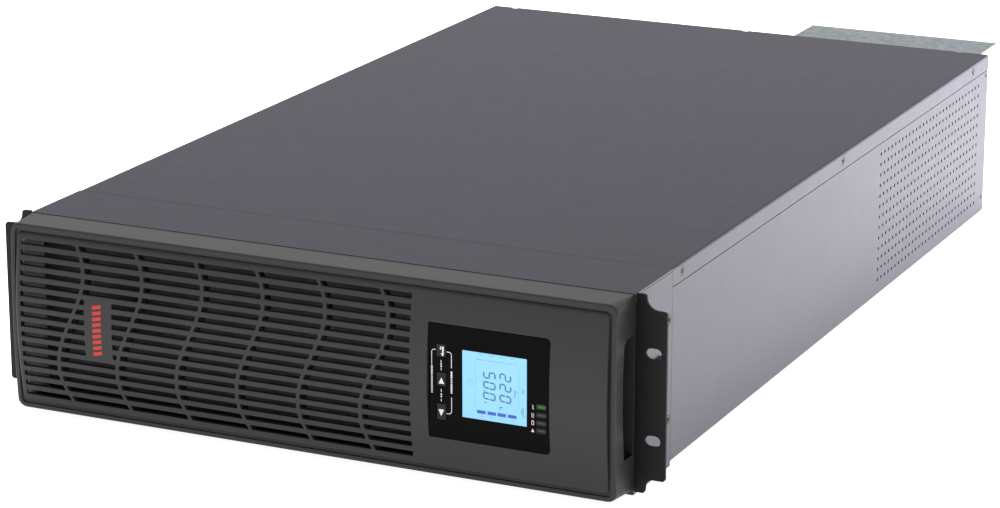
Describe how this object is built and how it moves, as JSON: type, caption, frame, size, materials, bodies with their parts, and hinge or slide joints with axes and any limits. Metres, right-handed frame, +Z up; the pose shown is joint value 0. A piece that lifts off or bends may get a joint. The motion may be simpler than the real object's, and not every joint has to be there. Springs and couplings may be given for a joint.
{
  "type": "uninterruptible power supply",
  "caption": "Rack-mount uninterruptible power supply: low steel case, crowned plastic bezel with a louvred grille and small backlit display, slotted rack ears, rear fans and terminals.",
  "frame": {"origin": "middle of the overall footprint, on the lowest face (the hem under the front of the case)", "axes": "+Z up, +Y from the front bezel to the rear panel, +X to the right of someone facing the front"},
  "size_m": [0.4826, 0.8054, 0.1328],
  "materials": {
    "sheet_top": "dark grey powder coat, satin",
    "sheet_side": "mid grey powder coat with a slight violet cast, satin",
    "ear_black": "black powder coat, fine texture",
    "bezel_plastic": "moulded dark grey plastic, fine matt grain",
    "gloss_black": "black gloss panel",
    "housing_black": "black moulded plastic",
    "lcd": "backlit blue-white liquid crystal display",
    "key_rubber": "dark grey key cap",
    "led_green": "lit green light pipe",
    "led_dark": "unlit smoked light pipe",
    "zinc": "zinc-plated sheet with a soft spangle",
    "screw_steel": "dark plated screw",
    "port_metal": "nickel-plated connector shell",
    "guard_wire": "plated wire",
    "black_plastic": "black moulded plastic",
    "fan_black": "black glass-filled plastic",
    "door_black": "black painted sheet",
    "board_green": "green circuit board",
    "battery_wrap": "dark battery case",
    "heat_sink": "extruded aluminium",
    "capacitor": "dark blue sleeve",
    "choke_wire": "varnished copper winding"
  },
  "bodies": {
    "chassis": {"chassis_tray": "sheet_side", "top_cover": "sheet_top", "front_frame": "sheet_side", "rear_panel": "sheet_side", "left_rack_ear": "ear_black", "right_rack_ear": "ear_black", "terminal_hood": "zinc", "terminal_block": "black_plastic", "expansion_slot_cover": "sheet_side", "serial_port": "port_metal", "usb_port": "port_metal", "input_breaker": "black_plastic", "power_board": "board_green", "control_board": "board_green", "heat_sink_rectifier": "heat_sink", "heat_sink_inverter": "heat_sink", "bus_capacitor_1": "capacitor", "bus_capacitor_2": "capacitor", "input_choke": "choke_wire", "output_choke": "choke_wire", "battery_door": "door_black", "battery_tray_left": "zinc", "battery_tray_right": "zinc", "fan_frame_a": "fan_black", "fan_guard_a": "guard_wire", "fan_frame_b": "fan_black", "fan_guard_b": "guard_wire", "battery_block_left_1": "battery_wrap", "cover_screw_left_1": "screw_steel", "battery_block_left_2": "battery_wrap", "cover_screw_left_2": "screw_steel", "battery_block_left_3": "battery_wrap", "cover_screw_left_3": "screw_steel", "cheek_screw_left_1": "screw_steel", "cheek_screw_left_2": "screw_steel", "battery_block_right_1": "battery_wrap", "cover_screw_right_1": "screw_steel", "battery_block_right_2": "battery_wrap", "cover_screw_right_2": "screw_steel", "battery_block_right_3": "battery_wrap", "cover_screw_right_3": "screw_steel", "cheek_screw_right_1": "screw_steel", "cheek_screw_right_2": "screw_steel"},
    "bezel": {"front_bezel": "bezel_plastic", "bezel_grille": "bezel_plastic", "badge_plate": "bezel_plastic"},
    "display": {"display_housing": "housing_black", "display_window": "gloss_black", "lcd_cell": "lcd", "display_board": "board_green", "status_led_1": "led_green", "status_led_2": "led_dark", "status_led_3": "led_dark", "status_led_4": "led_dark"},
    "key_enter": {"key_enter": "key_rubber"},
    "key_up": {"key_up": "key_rubber"},
    "key_down": {"key_down": "key_rubber"},
    "fan_a": {"fan_rotor_a": "fan_black"},
    "fan_b": {"fan_rotor_b": "fan_black"},
    "breaker": {"breaker_lever": "black_plastic"}
  },
  "joints": [
    {"name": "bezel_pull", "type": "slide", "parent": "chassis", "child": "bezel", "axis": [0, -1, 0], "range_m": [0, 0.05]},
    {"name": "display_pull", "type": "slide", "parent": "bezel", "child": "display", "axis": [0, -1, 0], "range_m": [0, 0.03]},
    {"name": "key_enter_press", "type": "slide", "parent": "display", "child": "key_enter", "axis": [0, 1, 0], "range_m": [0, 0.0007], "stiffness_N_per_m": 600, "springref_m": -0.0005},
    {"name": "key_up_press", "type": "slide", "parent": "display", "child": "key_up", "axis": [0, 1, 0], "range_m": [0, 0.0007], "stiffness_N_per_m": 600, "springref_m": -0.0005},
    {"name": "key_down_press", "type": "slide", "parent": "display", "child": "key_down", "axis": [0, 1, 0], "range_m": [0, 0.0007], "stiffness_N_per_m": 600, "springref_m": -0.0005},
    {"name": "fan_a_spin", "type": "hinge", "parent": "chassis", "child": "fan_a", "pos_m": [-0.082, 0.33945, 0.0643], "axis": [0, 1, 0], "continuous": true},
    {"name": "fan_b_spin", "type": "hinge", "parent": "chassis", "child": "fan_b", "pos_m": [0.006, 0.33945, 0.0643], "axis": [0, 1, 0], "continuous": true},
    {"name": "breaker_throw", "type": "hinge", "parent": "chassis", "child": "breaker", "pos_m": [-0.194, 0.34575, 0.0433], "axis": [1, 0, 0], "range_deg": [-68, 0]}
  ]
}
